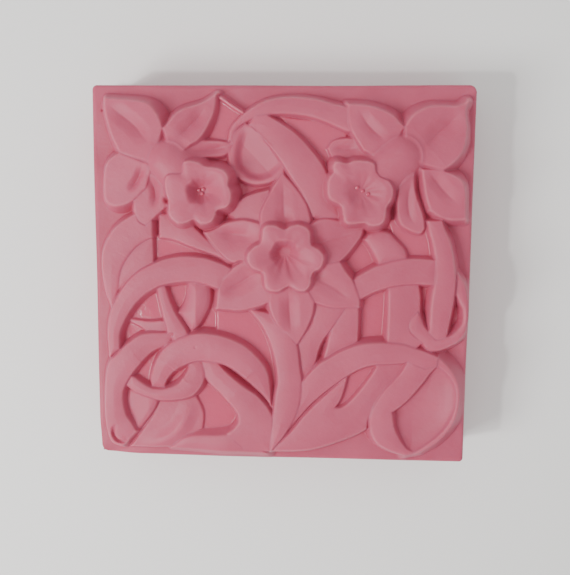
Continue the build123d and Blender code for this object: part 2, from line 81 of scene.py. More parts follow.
# ---------------------------------------------------------------------------------------------------
# What is carved, lowest first. runs: the outline, a chain of curves through points. spine: the line
# along which the height changes, as x, y, height. crown: extra height in the middle. roll and drop: how
# far in and how deep the edge rounds over. slope: how steep the wall is. dish: how much the inside falls
# away from the edge, and over what length. blend: how far in from its outline a piece takes to rise out
# of what lies under it. folds: creases along a line, as points, depth, reach to each side; a negative
# depth is a ridge. hollows: soft dents, as x, y, depth, reach.
# ---------------------------------------------------------------------------------------------------
LEAVES = {
    "pool_rim": dict(spine=[(-11, 31, 2.8), (-11.5, 26, 3.0), (-6, 21.7, 3.2), (1, 23.2, 3.6)], crown=0.2,
                     runs=[
        [(-8, 35), (-10.9, 32.5), (-11.7, 25.6), (-9.9, 23), (-6.1, 21.5), (-2.4, 21.9), (1, 23.4)],
        [(0.5, 27)], [(-6.9, 34.6)], [(-8, 35)]]),
    "pool_floor": dict(spine=[(-9.5, 25.4, 1.3), (-6.4, 28, 1.7), (-3.4, 30.8, 3.4)], crown=0.0, drop=0.0,
                       blend=2.1, runs=[
        [(-8.6, 35.2), (-10, 32), (-10.9, 28.4), (-10.4, 25), (-8, 22.7), (-5, 21.9), (-2, 22.7),
         (0.6, 24.9)], [(3.5, 28)], [(-4, 37)], [(-8.6, 35.2)]]),
    "loop_bowl": dict(spine=[(28, -31, 1.6), (38, -29, 2.0)], crown=0.0, drop=0.0, dish=(2.5, 2.4), runs=[
        [(36.6, -18.6), (39.9, -21.7), (41, -24), (41, -31), (39.4, -34.7), (33, -40.4), (30.8, -41.2)],
        [(24, -37)], [(22, -30)], [(30, -20)], [(36.6, -18.6)]]),
    "thin_rib": dict(spine=[(-35, -10.5, 2.0), (-28, -11.5, 2.9)], crown=0.0, roll=0.4, drop=0.2, runs=[
        [(-35.6, -10), (-30.7, -10.6), (-27, -10.3)], [(-25.5, -13.2)], [(-31, -13.1), (-32.7, -12.1),
         (-35.2, -11)], [(-35.6, -10)]]),
    "corner_strip": dict(spine=[(-35, -30, 2.2), (-31, -30, 3.2)], crown=0.0, roll=1.6, drop=0.8, runs=[
        [(-35.4, -25.6), (-36.6, -30), (-34, -37.6)], [(-29.5, -31.5), (-28.4, -29)], [(-29, -27.4)],
        [(-35.4, -25.6)]]),
    "corner_leaf": dict(spine=[(-28, -31, 2.0), (-20, -33, 2.2)], crown=0.0, roll=0.6, drop=0.3, runs=[
        [(-28.4, -29), (-29.6, -32.2), (-35.8, -41.3)], [(-30, -41.3), (-25, -41)], [(-21.5, -38.3),
         (-18.2, -36.4)], [(-18, -32.3), (-20.4, -27)], [(-28.4, -29)]],
        folds=[([(-20.6, -28), (-21.3, -31), (-22.7, -34.5), (-24.4, -37), (-26.8, -38.8), (-29.6, -39.9),
                 (-34, -40.2)], -1.2, 3.0)]),
    "bottom_leaf": dict(spine=[(-25, -41, 2.6), (-12, -39, 3.8)], crown=0.3, slope=1.5, runs=[
        [(-9, -36), (-12.8, -37.3), (-20.5, -37.9), (-23.2, -38.8), (-25.8, -41.2)], [(-3, -41.6)],
        [(-9, -36)]]),
    "drop_leaf": dict(spine=[(-23, -5, 2.6), (-19.5, -5, 3.6), (-16.5, -5, 3.0)], crown=0.6, roll=1.2,
                      drop=0.7, runs=[
        [(-21.6, -0.6), (-21.8, -4.2), (-22.8, -6.7), (-24.3, -8.4)], [(-22.9, -9.9), (-20.6, -12.9)],
        [(-18.9, -11.5), (-16.1, -6.1), (-16, -0.8)], [(-21.6, -0.6)]]),
    "slant_stem": dict(spine=[(-27.5, -3, 3.2), (-23.5, -13, 4.0)], crown=0.2, runs=[
        [(-28.8, -1.5), (-28.5, -3.6), (-26, -13.3)], [(-24, -15.6)], [(-20.8, -13.9)], [(-24.6, -7.9),
         (-25.9, -4.9), (-26.8, -1.5)], [(-28.8, -1.5)]]),
    "wedge_leaf": dict(spine=[(-27, 11, 3.2), (-12, 5, 3.8)], crown=0.2, runs=[
        [(-27.9, 14.6), (-22, 14.6)], [(-19.1, 11), (-15.4, 7.6), (-12.6, 5), (-10.2, 3.5)],
        [(-11.6, 3.4), (-14, 4.8), (-20, 6.9), (-25.3, 8.8), (-27.9, 9.1)], [(-27.9, 14.6)]]),
    "inner_arc": dict(spine=[(-29, 6, 3.6), (-36, 0, 3.2)], crown=0.2, runs=[
        [(-29.4, 9.2), (-32.2, 7.7), (-34.6, 5.5), (-37.1, 1.2), (-38, -3.5)], [(-32.7, 0.5),
         (-29.2, 2.6)], [(-29.4, 9.2)]]),
    "outer_arc": dict(spine=[(-30, 12, 4.0), (-38, 6, 3.6), (-39.5, -6, 3.2)], crown=0.2, runs=[
        [(-33.3, 14.6), (-37, 12.2), (-38.8, 10.4), (-41.1, 5.6), (-40.8, -3), (-39.3, -7.7)],
        [(-37.7, -3)], [(-37.1, 1.2), (-34.6, 5.5), (-32.2, 7.7), (-29.4, 9.2)], [(-29.4, 14)],
        [(-33.3, 14.6)]]),
    "lower_left_ring": dict(
        spine=[(-25, -14.6, 3.6), (-35, -17, 4.0), (-39.5, -27, 4.0), (-38, -38, 3.4)], crown=0.3, runs=[
        [(-24.5, -13), (-31.4, -13.4), (-34.1, -14.7), (-39.3, -19.5), (-40.6, -22.5), (-40.2, -39.6),
         (-37.5, -41)], [(-33.9, -37.2)], [(-35.3, -34.8), (-36.4, -33.1), (-37, -27.9), (-35.4, -24.1),
         (-30.8, -18.4), (-28.7, -17), (-26, -16.1)], [(-24.5, -13)]],
        folds=[([(-38.5, -35.2), (-39.5, -36.7), (-39.3, -38.5), (-38.3, -39.5), (-36.6, -39.6),
                 (-36.4, -38.2)], 1.0, 0.7)]),
    "big_arc": dict(spine=[(-12, 0.5, 4.2), (-22, 1.8, 4.4), (-33, -3, 4.3), (-38.6, -12, 4.0)],
                    crown=0.3, runs=[
        [(-9, 1.5), (-11, 2.2), (-13.4, 3.3), (-18.3, 4.7), (-25, 4.5), (-32.7, 1.2), (-37.3, -4),
         (-39.9, -10.8), (-39.9, -19)], [(-37.5, -17)], [(-37.3, -12.9), (-33.3, -5.9), (-28.2, -2.2),
         (-21.9, -0.9), (-18.4, -1.2), (-14, -2.5)], [(-9, 1.5)]]),
    "side_leaf": dict(spine=[(-10.5, 15, 3.2), (-4, 17, 3.8)], crown=0.2, runs=[
        [(-11.8, 14.4), (-8.7, 18.1), (-2.5, 20.2)], [(-3, 12)], [(-9, 13.2), (-11.8, 14.4)]]),
    "top_arch": dict(spine=[(-11.4, 32, 2.8), (-8, 36.5, 3.0), (3, 39, 3.2), (15, 36.5, 3.4)], crown=0.2,
                     runs=[
        [(-12, 31.2), (-11.6, 33.6), (-10, 35.8), (-4.2, 39.7), (1.2, 40.8), (7.6, 40.4), (11.6, 39.4),
         (15.4, 38.6)], [(15.8, 33)], [(7, 36.4), (0.6, 37.2), (-4.5, 36.7), (-8.6, 35), (-10.3, 33.4),
         (-10.9, 31.2)], [(-12, 31.2)]]),
    "broad_leaf": dict(spine=[(-4.5, 35.5, 3.2), (0, 32, 4.0), (6, 25, 4.4), (10, 15, 4.0)], crown=0.3, runs=[
        [(-3.2, 37), (3.6, 32.5), (9.7, 25.4), (11.5, 21.5)], [(13.5, 14)], [(7.5, 14)], [(5.2, 19),
         (2.5, 23), (-1.9, 29.3), (-7.2, 34.8)], [(-5.6, 36.8)], [(-3.2, 37)]],
        folds=[([(-7, 34.7), (-4.1, 31.8), (-1.9, 29.3), (0.1, 26.6)], -0.35, 0.5)]),
    "dome_leaf": dict(spine=[(20, 9, 3.6), (27, 6, 3.6)], crown=0.5, roll=0.9, drop=0.5, runs=[
        [(22.6, 3.4), (20.8, 6.9), (19.3, 9.1)], [(20.5, 10.6), (22.6, 11.3), (24.7, 10.8), (26.6, 9),
         (28.3, 7.2), (29.6, 4.4)], [(22.6, 3.4)]]),
    "inner_stem": dict(spine=[(28, -2, 3.4), (28.5, -12, 4.2)], crown=0.2, runs=[
        [(24.9, -0.5), (25, -8), (24.8, -15)], [(31, -16.2)], [(34.2, -12.6), (33.2, -10.2),
         (32.3, -7.6), (32.2, -4), (31.8, -0.5)], [(24.9, -0.5)]]),
    "cross_ribbon": dict(spine=[(17, -1.5, 3.8), (26, 2, 4.2), (35, 2, 4.2)], crown=0.3, runs=[
        [(15.5, -1), (18, 0.8), (22.8, 3.4), (28.6, 4.9), (35.2, 4.8)], [(35.8, -1.1)], [(32.3, -0.8),
         (26.8, -1.2), (21.4, -2.9), (17, -5.5)], [(15.5, -1)]]),
    "loop_hook": dict(spine=[(41, -1, 3.4), (42.4, -8, 4.2), (37, -14.5, 4.4), (31, -11, 4.2)],
                      crown=0.3, runs=[
        [(40.1, 2.4), (42.5, -1.8), (41.9, -12.8), (35.4, -16.2), (33.8, -15.6), (32.6, -14.2),
         (30, -11.9), (29.6, -10.2), (30.3, -8.5), (31.6, -7.2)], [(32.3, -8.4), (32.9, -9.9),
         (35.6, -12.6), (39.2, -12.5), (41.7, -9.8), (41.8, -6.5), (41, -4.9), (40.1, -3)],
        [(40.1, 2.4)]]),
    "right_stem": dict(spine=[(35.5, 13, 3.6), (37.4, 2, 4.6), (36.5, -12, 4.4)], crown=0.3, runs=[
        [(33.2, 13.5), (33.7, 11.2), (34.6, 8.2), (35.4, 2.6), (34.6, -5), (34.3, -12)], [(36, -13.6),
         (38.3, -13)], [(39.8, -2.4), (39.6, 2.8), (38.4, 9), (37.3, 11.4), (36.6, 13.7)],
        [(33.2, 13.5)]]),
    "blade_outer": dict(spine=[(17, -7, 3.8), (13.5, -16, 3.4)], crown=0.2, runs=[
        [(15.5, -6.2), (11.8, -12.4), (11.1, -15.7), (10.2, -19)], [(18.2, -14.3)], [(18.2, -6.2)],
        [(15.5, -6.2)]]),
    "blade_inner": dict(spine=[(11, -7, 3.8), (7, -20, 3.4)], crown=0.2, runs=[
        [(8, -5), (8, -8.5), (7, -11.4), (4.6, -14.5), (4.8, -19), (5.2, -24.5)], [(8.5, -19.6)],
        [(9.3, -16.1), (10.5, -13.6), (11.6, -12.2), (15.5, -6.2)], [(8, -5)]]),
    "long_leaf": dict(spine=[(0, -40, 3.8), (10, -35, 4.0), (20, -28, 4.0), (27, -20, 3.6)], crown=0.3,
                      runs=[
        [(-1.7, -41), (3, -36), (7, -31), (16, -22.3)], [(14.6, -27.6), (13.2, -30.2)], [(15.3, -29.7),
         (21.3, -22.4), (22.8, -19.6)], [(29.5, -18.6)], [(27.5, -22.7), (23.3, -28.5), (21, -32.6),
         (20.6, -35)], [(18.1, -36.5), (9, -40), (4.2, -40.8), (-1.7, -41)]]),
    "loop_right": dict(spine=[(37.5, -18, 4.2), (41, -26, 4.4), (39.5, -34, 4.4), (31, -41, 3.8)],
                       crown=0.0, roll=0.5, drop=0.2, slope=1.7, runs=[
        [(36.6, -17.4), (40, -21.1), (41.2, -23.4), (41.7, -26), (40.9, -32), (37.6, -37.2),
         (33, -40.6)], [(29.8, -41.4)], [(33, -39.7), (38.8, -34.3), (40.9, -28.9), (40.4, -23.8),
         (37.5, -20.4), (36, -19.6)], [(36.6, -17.4)]]),
    "loop_left": dict(spine=[(33, -20, 4.4), (25, -29, 4.4), (24, -35, 4.0), (31, -40.5, 3.8)],
                      crown=0.3, runs=[
        [(29.8, -18.2), (28.3, -21.1), (23.5, -26.9), (21.5, -31.1), (21.2, -33.5), (21.7, -36),
         (23.2, -38.5), (26, -40.2), (29.8, -41.4)], [(32, -40.6)], [(30, -39.5), (27.2, -35),
         (26.4, -30.8)], [(29.5, -28.2), (33.6, -23.2), (34.9, -21.3), (36.3, -19.8)], [(36.6, -17.6)],
        [(29.8, -18.2)]]),
    "lower_right_arch": dict(spine=[(5, -29, 4.0), (12, -21.5, 4.4), (24, -16.5, 4.7), (35, -18.2, 4.5)],
                             crown=0.3, runs=[
        [(5, -24.4), (9, -20), (11.6, -18.3), (13.8, -16.9), (19, -14.9), (28.1, -14.6), (30.4, -15.3),
         (34.7, -16.7), (36.6, -17.6)], [(36.4, -19.6)], [(33.5, -20.4)], [(29.5, -18.8)],
        [(28.4, -19.1), (21.7, -19.6), (19.4, -20.3), (16.8, -21.7), (8.5, -28.4), (2.5, -35.5)],
        [(5, -24.4)]]),
    "diagonal_stem": dict(spine=[(-16.5, -21, 3.4), (-10, -27, 4.2), (-4, -34, 4.4), (-6, -41, 4.0)],
                          crown=0.3, runs=[
        [(-15.4, -18.6), (-12.6, -22), (-7.7, -25.9), (-5.1, -27.6), (-1.6, -32), (-1, -35),
         (-1.9, -41)], [(-8, -41)], [(-12.1, -37)], [(-10.4, -35.6), (-9.4, -33.9), (-9.6, -32.1),
         (-13.1, -27.8), (-17.3, -23.6), (-18.1, -20)], [(-17.5, -18.6)], [(-15.4, -18.6)]]),
    "central_stem": dict(spine=[(-3, -8, 3.6), (1, -16, 4.2), (2.4, -26, 4.4), (0, -38, 4.4)],
                         crown=0.4, runs=[
        [(-7.5, -6.9), (-3.9, -11.3), (-1.6, -16.3), (-0.2, -24), (-0.7, -27), (-1.6, -35),
         (-1.9, -41)], [(0.9, -37.6), (4.5, -30.8), (5.3, -23.6), (4.9, -20.9), (4.2, -15.5), (2, -9)],
        [(-7.5, -6.9)]]),
    "hook_leaf": dict(spine=[(-34.5, -25, 3.4), (-28, -27.7, 4.0), (-21, -25, 4.0), (-20, -20, 3.4)],
                      crown=0.3, runs=[
        [(-34.9, -23.5), (-29.9, -26.4), (-24.4, -25.6), (-21.7, -22.5), (-21.1, -20)], [(-18.4, -19)],
        [(-17.6, -22), (-17.6, -24.1), (-19.7, -27.5), (-21.7, -28.5), (-28.2, -29.1), (-34, -27.5),
         (-36.3, -25.9)], [(-34.9, -23.5)]]),
    "arch_leaf": dict(spine=[(-28.5, -25.5, 3.2), (-26.5, -20, 4.2), (-16, -16, 4.8), (-5, -21, 4.6),
                             (-2, -29.5, 3.8)], crown=0.4, runs=[
        [(-30.1, -26), (-30.3, -24), (-26.6, -16.4), (-20.4, -13.3), (-13.4, -13.5), (-7.6, -16),
         (-3.7, -20), (-2.5, -22.6), (-1.6, -30.5)], [(-3.7, -27.4), (-11.8, -20.5), (-16.8, -19.4),
         (-20, -19.7), (-24.4, -21.9), (-26.4, -24.3), (-27, -26.2)], [(-30.1, -26)]]),
}

PETALS = {
    "left_petal_3": dict(spine=[(-11, 30.5, 2.4), (-20, 29, 3.8)], crown=0.0, runs=[
        [(-22, 31.4), (-13, 31), (-10.8, 30.6)], [(-12.5, 28.1), (-17.7, 27.3), (-22, 26.5)],
        [(-22, 31.4)]],
        folds=[([(-11.8, 30), (-15, 29.4), (-20.5, 28.8)], 0.7, 1.5)]),
    "left_petal_5": dict(spine=[(-31.5, 11.5, 3.9), (-28, 20, 4.6)], crown=0.0, runs=[
        [(-33.5, 17.5), (-33.4, 14.9), (-32.4, 12.6), (-30.9, 11.8)], [(-27.7, 14.8), (-25.2, 16.8)],
        [(-25, 22)], [(-31, 24)], [(-33.5, 17.5)]],
        folds=[([(-30.2, 23), (-28.9, 21), (-28.5, 18.7), (-29.2, 15.6)], 0.8, 1.5)]),
    "left_petal_4": dict(spine=[(-40, 19, 4.0), (-31, 24, 5.0)], crown=0.0, runs=[
        [(-36.5, 28.3), (-38.5, 27), (-39.7, 25.4), (-40.2, 18.4), (-39.4, 16.8), (-38, 16.2),
         (-35.9, 16.5), (-33.5, 17.6)], [(-30.5, 20.5)], [(-29, 25.5)], [(-36.5, 28.3)]],
        folds=[([(-31.2, 26), (-31.8, 24), (-32.8, 22), (-35, 19.5)], 0.9, 1.4)]),
    "left_petal_2": dict(spine=[(-14.6, 41.5, 3.2), (-22, 32, 5.0)], crown=0.0, runs=[
        [(-26.5, 33.8), (-25.5, 34.6), (-24.2, 36.4), (-22.5, 37.8), (-17.6, 39.6), (-14.6, 41.6)],
        [(-15.3, 36.9), (-18.3, 31.5), (-20.2, 30.2)], [(-24, 27)], [(-26.5, 33.8)]],
        folds=[([(-16.4, 39), (-19.3, 35.5), (-21.9, 33), (-24, 30.8)], 1.1, 2.4)]),
    "left_petal_1": dict(spine=[(-40, 40, 3.6), (-30, 31, 5.0)], crown=0.0, runs=[
        [(-26.5, 33.8), (-27.8, 36.8), (-30.2, 39.3), (-40, 40.6)], [(-40.1, 38.5), (-38.4, 32.3),
         (-36.5, 28.3)], [(-29, 26)], [(-26.5, 33.8)]],
        folds=[([(-39.4, 39.6), (-37.2, 37.5), (-34.9, 35.8), (-33, 34.2), (-31.4, 32.3), (-29.2, 30)],
                1.0, 2.8)]),
    "right_petal_5": dict(spine=[(11, 29.4, 2.7), (19, 28.8, 3.6)], crown=0.0, runs=[
        [(10.5, 29.6), (11.7, 31.2), (16.2, 31.8), (18.5, 31)], [(20, 26)], [(12.1, 27.1), (10.5, 29.6)]],
        folds=[([(11.5, 29.4), (18, 29.6)], 0.5, 1.6)]),
    "right_petal_4": dict(spine=[(30, 11, 3.8), (29, 23, 5.0)], crown=0.0, runs=[
        [(28, 23.5), (26.5, 20), (26.8, 13.8), (28.1, 12), (31.8, 10.8), (32.6, 11.8)], [(32.3, 14.2),
         (30.1, 20.3), (29.8, 24)], [(28, 23.5)]],
        folds=[([(29.4, 23), (28.8, 19), (29.2, 15), (30.6, 12)], 0.5, 1.6)]),
    "right_petal_3": dict(spine=[(41.5, 15, 3.8), (33, 23, 5.0)], crown=0.0, runs=[
        [(36.2, 24.8), (40, 23), (41.1, 21.3), (41.8, 13.9)], [(38.5, 13.8), (36, 14.4), (33.7, 15.9)],
        [(32.6, 19), (31.5, 25)], [(36.2, 24.8)]],
        folds=[([(32, 25.6), (35.1, 22.2), (36.7, 20.3), (40.4, 16.8)], 0.75, 2.4)]),
    "right_petal_2": dict(spine=[(41, 39, 3.8), (32, 31, 5.2)], crown=0.0, runs=[
        [(27.5, 34.2), (29, 36.5), (31.1, 38), (33.6, 38.8), (39.5, 39), (41.6, 40.2)], [(40.9, 38),
         (41.2, 34.1), (41, 31), (40.1, 28.5), (38.6, 26.6), (36.2, 24.8)], [(32, 26)], [(28, 28)],
        [(27.5, 34.2)]],
        folds=[([(40.6, 38.4), (37.8, 35.3), (34.7, 32.5), (31, 29)], 1.2, 3.4)]),
    "right_petal_1": dict(spine=[(16, 38.6, 3.8), (24, 31, 5.0)], crown=0.0, runs=[
        [(27.5, 34.2), (26.3, 35.3), (24.9, 36.8), (20.1, 38.8), (14.8, 39.3)], [(15.5, 34.3),
         (18.6, 29)], [(23, 27)], [(27.5, 34.2)]],
        folds=[([(17.2, 38.4), (18.3, 36.5), (19.6, 34.7), (21.2, 33.1), (24, 30.4)], 0.7, 2.2)]),
    "centre_petal_top": dict(spine=[(0.5, 24, 3.8), (1.3, 12, 5.2)], crown=0.0, runs=[
        [(0.5, 24), (-1.3, 21.3), (-4.2, 15.5), (-4.4, 12.5)], [(-2, 7)], [(5, 7)], [(6.9, 13.5)],
        [(6, 17), (3.6, 20.6), (0.5, 24)]],
        folds=[([(0.6, 23), (0.8, 18), (1.2, 11)], 0.45, 2.4)], hollows=[(0.9, 13.6, 0.8, 1.9)]),
    "centre_petal_upper_right": dict(spine=[(18.8, 12, 3.6), (8, 8, 5.2)], crown=0.0, runs=[
        [(6, 12), (9.6, 13.7), (12.9, 13.6), (16.8, 12.5), (19.1, 12.1)], [(18.5, 10.1), (15.7, 6.2),
         (13.6, 4.1)], [(6, 3)], [(6, 12)]],
        folds=[([(17.6, 11), (13, 9.6), (7, 7.8)], 0.6, 2.8)], hollows=[(8.9, 8.6, 0.8, 1.6)]),
    "centre_petal_upper_left": dict(spine=[(-17.3, 10.6, 3.8), (-6, 8, 5.0)], crown=0.0, runs=[
        [(-17.4, 10.4), (-15, 11.2), (-12.7, 12.4), (-8.5, 13.3), (-4.4, 12.5)], [(-3, 7)], [(-6, 3)],
        [(-8.8, 4.2), (-10.4, 3.7), (-12.4, 4.6), (-16, 8.4), (-17.4, 10.4)]],
        folds=[([(-15.5, 10.4), (-11.4, 10.2), (-6, 9.4)], 0.4, 2.0)],
        hollows=[(-11, 9.4, 0.9, 2.2), (-7.6, 9.6, 0.7, 2.2)]),
    "centre_petal_lower_left": dict(spine=[(-14, -6.5, 4.2), (-5, 0, 5.0)], crown=0.0, runs=[
        [(-8, 4.2), (-10.8, 2.2), (-13.7, -1.4), (-14.6, -7.1)], [(-9.2, -7.4), (-5.8, -6.7),
         (-2.2, -5.4)], [(-1, 0)], [(-5, 4)], [(-8, 4.2)]],
        folds=[([(-13.5, -4.4), (-12.1, -3.1), (-8.8, -1), (-6.8, 0.3), (-3.5, 2)], 1.1, 3.2)]),
    "centre_petal_lower_right": dict(spine=[(18, -5.5, 4.2), (8, 1, 5.2)], crown=0.0, runs=[
        [(13.6, 4.1), (15.1, 1.9), (16.8, -0.4), (18.3, -4.6), (18.3, -6.3)], [(11.9, -6.4), (7.5, -5)],
        [(4, 0)], [(6, 3)], [(13.6, 4.1)]],
        folds=[([(16.8, -4.8), (12, -1.6), (7, 1)], 0.6, 3.0)], hollows=[(8.8, 1.2, 0.6, 1.4)]),
    "centre_petal_bottom": dict(spine=[(4.3, -15, 4.2), (2, -4, 5.4)], crown=0.0, runs=[
        [(-2.3, -4), (-2.2, -6.3), (-0.3, -10.9), (1.8, -12.7), (4.1, -15.4)], [(6, -12.1), (7.7, -7.8),
         (8, -5)], [(5, 0)], [(-1, 0)], [(-2.3, -4)]],
        folds=[([(2.8, -13), (2.4, -8), (2.1, -2)], 1.0, 2.6)]),
}

TUBE_LOW, TUBE_SLOPE, TUBE_JOIN = 4.6, 1.6, 2.0    # a tube's edge level, wall slope, valley beside it
# A flower's tube is a swelling that runs from its foot into the back of its trumpet. foot and back: x, y,
# radius.
TUBES = {
    "left_tube": dict(foot=(-25.6, 26.4, 4.6), back=(-20.5, 21, 5.2), top=6.9),
    "right_tube": dict(foot=(27, 27.8, 4.6), back=(20, 21.4, 4.8), top=6.7),
}

FRILL_SCALE, FRILL_LIFT = 0.8, 0.15    # how far a lobe stands out to count as one, and how much it rises
LIP_FALL, RIM_THICK = 0.25, 0.5        # how far the rim turns down, and its edge below the top
RIPPLES = 13                           # fine folds round a throat
TRUMPET_SLOPE, TRUMPET_JOIN = 3.0, 0.7    # how steep its outer wall is, and the valley below it
# A trumpet is read outwards from its mouth. rim: its outline; steep: the direction, in degrees, where
# the throat's wall is steepest; wall: where that wall starts and ends, as parts of the way to the rim;
# ripple: height of the fine folds.
TRUMPETS = {
    "left_trumpet": dict(mouth=(-17.8, 19.8), floor=4.4, top=7.6, steep=175, wall=(0.12, 0.46), ripple=0.04,
                         rim=[
            (-21.2, 26.2), (-18.4, 26.2), (-16.6, 25.3), (-13.7, 24.9), (-12.2, 24.2), (-11.4, 23),
            (-11.4, 21), (-10.8, 19.6), (-10.9, 17.6), (-11.7, 16.3), (-13.9, 15.5), (-14.4, 14.1),
            (-15.3, 12.9), (-17.5, 12.5), (-19.2, 13.4), (-20.7, 12.8), (-22.5, 12.5), (-24, 13.4),
            (-24.8, 14.8), (-24.8, 16.5), (-25.6, 21.4), (-25.1, 23), (-23.9, 23.5), (-21.9, 23.7)]),
    "right_trumpet": dict(mouth=(18.0, 19.8), floor=5.6, top=7.4, steep=170, wall=(0.0, 0.6), ripple=0.05,
                          rim=[
            (11.9, 25.6), (12.6, 26.5), (14.8, 26.1), (16.9, 26.7), (20.7, 26.1), (21.4, 24.2),
            (22.2, 23.2), (24.1, 22.3), (25, 20.8), (24.9, 18.4), (23.8, 16.5), (23.6, 14.5),
            (23.1, 13.2), (21.9, 12.5), (20.2, 12.5), (19, 13), (15.5, 12.8), (14.6, 13.4),
            (13.7, 16.7), (11.1, 18.5), (10.7, 21.7), (11.2, 23.1), (11.9, 24.1)]),
    "centre_trumpet": dict(mouth=(1.2, 6.1), floor=4.4, top=7.7, steep=105, wall=(0.12, 0.46), ripple=0.1,
                           rim=[
            (-3.5, 11.6), (-2.6, 12.3), (-0.9, 12.3), (1.2, 11.5), (2.7, 12.2), (4.4, 12.5),
            (6.1, 11.9), (6.9, 10.8), (7.2, 8.1), (8.9, 7), (10, 5.6), (9.9, 3.9), (9.2, 2.8), (7.9, 2),
            (7.3, 0.8), (7.1, -0.9), (6, -2.2), (4.3, -2.2), (2.3, -1.3), (0.1, -2.4), (-1.6, -2.4),
            (-2.9, -1.6), (-3.6, 1.6), (-5.9, 2.7), (-7, 4.3), (-6.9, 5.9), (-5.6, 7.4), (-4.1, 8.4)]),
}


# ---- Curves and distances, all in millimetres -----------------------------------------------------
def smooth(points, closed=False, per=8):
    """Points along a centripetal Catmull-Rom curve."""
    p = np.array(points, float)
    if len(p) == 2:
        return np.linspace(p[0], p[1], 3)
    ends = (p[-1:], p[:2]) if closed else ([2 * p[0] - p[1]], [2 * p[-1] - p[-2]])
    q = np.vstack([ends[0], p, ends[1]])
    out = []
    for a, b, c, d in zip(q, q[1:], q[2:], q[3:]):
        t0, t1 = 0.0, np.linalg.norm(b - a) ** 0.5
        t2 = t1 + np.linalg.norm(c - b) ** 0.5
        t3 = t2 + np.linalg.norm(d - c) ** 0.5
        t = np.linspace(t1, t2, per, endpoint=False)[:, None]
        a1 = ((t1 - t) * a + (t - t0) * b) / (t1 - t0)
        a2 = ((t2 - t) * b + (t - t1) * c) / (t2 - t1)
        a3 = ((t3 - t) * c + (t - t2) * d) / (t3 - t2)
        b1 = ((t2 - t) * a1 + (t - t0) * a2) / (t2 - t0)
        b2 = ((t3 - t) * a2 + (t - t1) * a3) / (t3 - t1)
        out.append(((t2 - t) * b1 + (t - t1) * b2) / (t2 - t1))
    return np.vstack(out if closed else out + [p[-1:]])


def chain(runs):
    """Closed outline made of runs that follow on from one another."""
    last, parts = runs[0][0], []
    for run in runs:
        points = run if run[0] == last else [last] + run
        parts.append(smooth(points)[:-1])
        last = points[-1]
    return np.vstack(parts)


def to_line(x, y, line, closed=False):
    """Distance from each point to a polyline, and how far along it the nearest place is, 0 to 1."""
    ends = np.vstack([line, line[:1]]) if closed else line
    lengths = np.hypot(*np.diff(ends, axis=0).T)
    total, done = lengths.sum(), 0.0
    best, along = np.full(x.shape, 1e9), np.zeros(x.shape)
    for (ax, ay), (bx, by), length in zip(ends, ends[1:], lengths):
        dx, dy = bx - ax, by - ay
        t = np.clip(((x - ax) * dx + (y - ay) * dy) / max(length ** 2, 1e-9), 0, 1)
        d = np.hypot(x - ax - t * dx, y - ay - t * dy)
        along = np.where(d < best, (done + t * length) / total, along)
        best = np.minimum(best, d)
        done += length
    return best, along


def into(x, y, outline):
    """Signed distance to a closed outline, positive inside."""
    inside = np.zeros(x.shape, bool)
    for (ax, ay), (bx, by) in zip(outline, np.roll(outline, -1, axis=0)):
        if ay != by:
            inside ^= ((ay > y) != (by > y)) & (x < (bx - ax) * (y - ay) / (by - ay) + ax)
    d, _ = to_line(x, y, outline, closed=True)
    return np.where(inside, d, -d)


def soft_max(a, b, k=JOIN):
    """The larger of two levels, rounded over where they are within k of each other."""
    h = np.clip(0.5 + 0.5 * (a - b) / k, 0, 1)
    return b + (a - b) * h + k * h * (1 - h)


def ease(t):
    """0 to 1 with a level start and end."""
    t = np.clip(t, 0, 1)
    return t * t * (3 - 2 * t)


def blur(z, sigma):
    """Gaussian blur of a square grid, sigma in grid steps."""
    reach = int(np.ceil(3 * sigma))
    kernel = np.exp(-0.5 * (np.arange(-reach, reach + 1) / sigma) ** 2)
    kernel /= kernel.sum()
    for axis in (0, 1):
        pad = [(reach, reach) if a == axis else (0, 0) for a in (0, 1)]
        wide = np.pad(z, pad, mode="edge")
        z = sum(k * np.take(wide, np.arange(i, i + z.shape[axis]), axis=axis) for i, k in enumerate(kernel))
    return z


def blur_ring(values, reach):
    """Running mean round a closed loop."""
    return sum(np.roll(values, k) for k in range(-reach, reach + 1)) / (2 * reach + 1)


# ---- The height field -----------------------------------------------------------------------------
COUNT = int(round(2 * HALF / STEP)) + 1
LINE = np.linspace(-HALF, HALF, COUNT)
X, Y = np.meshgrid(LINE, LINE)
height = np.zeros_like(X)
owner = np.zeros(X.shape, int)
NAMES = ["mould_tray"]


def window(outline, margin=7.0):
    """The part of the grid within a margin of an outline."""
    low = np.searchsorted(LINE, outline.min(axis=0) - margin)
    high = np.searchsorted(LINE, outline.max(axis=0) + margin)
    return slice(low[1], high[1]), slice(low[0], high[0])


def lay(name, win, d, z, edge, slope, blend=0.0, join=JOIN):
    """Put one piece on the field: its own top inside its outline, and a wall down from its edge outside."""
    NAMES.append(name)
    old = height[win]
    if blend:
        new = np.where(d > 0, old + (z - old) * ease(d / blend), old)
        mine = d > blend / 2
    else:
        inner = soft_max(z, old - slope * np.maximum(d, 0), join)
        wall = edge + slope * np.minimum(d, 0)
        new = np.where(d > 0, inner, soft_max(old, wall, join))
        mine = (d > 0) | (wall > old)
    height[win] = new
    owner[win] = np.where(mine, len(NAMES) - 1, owner[win])


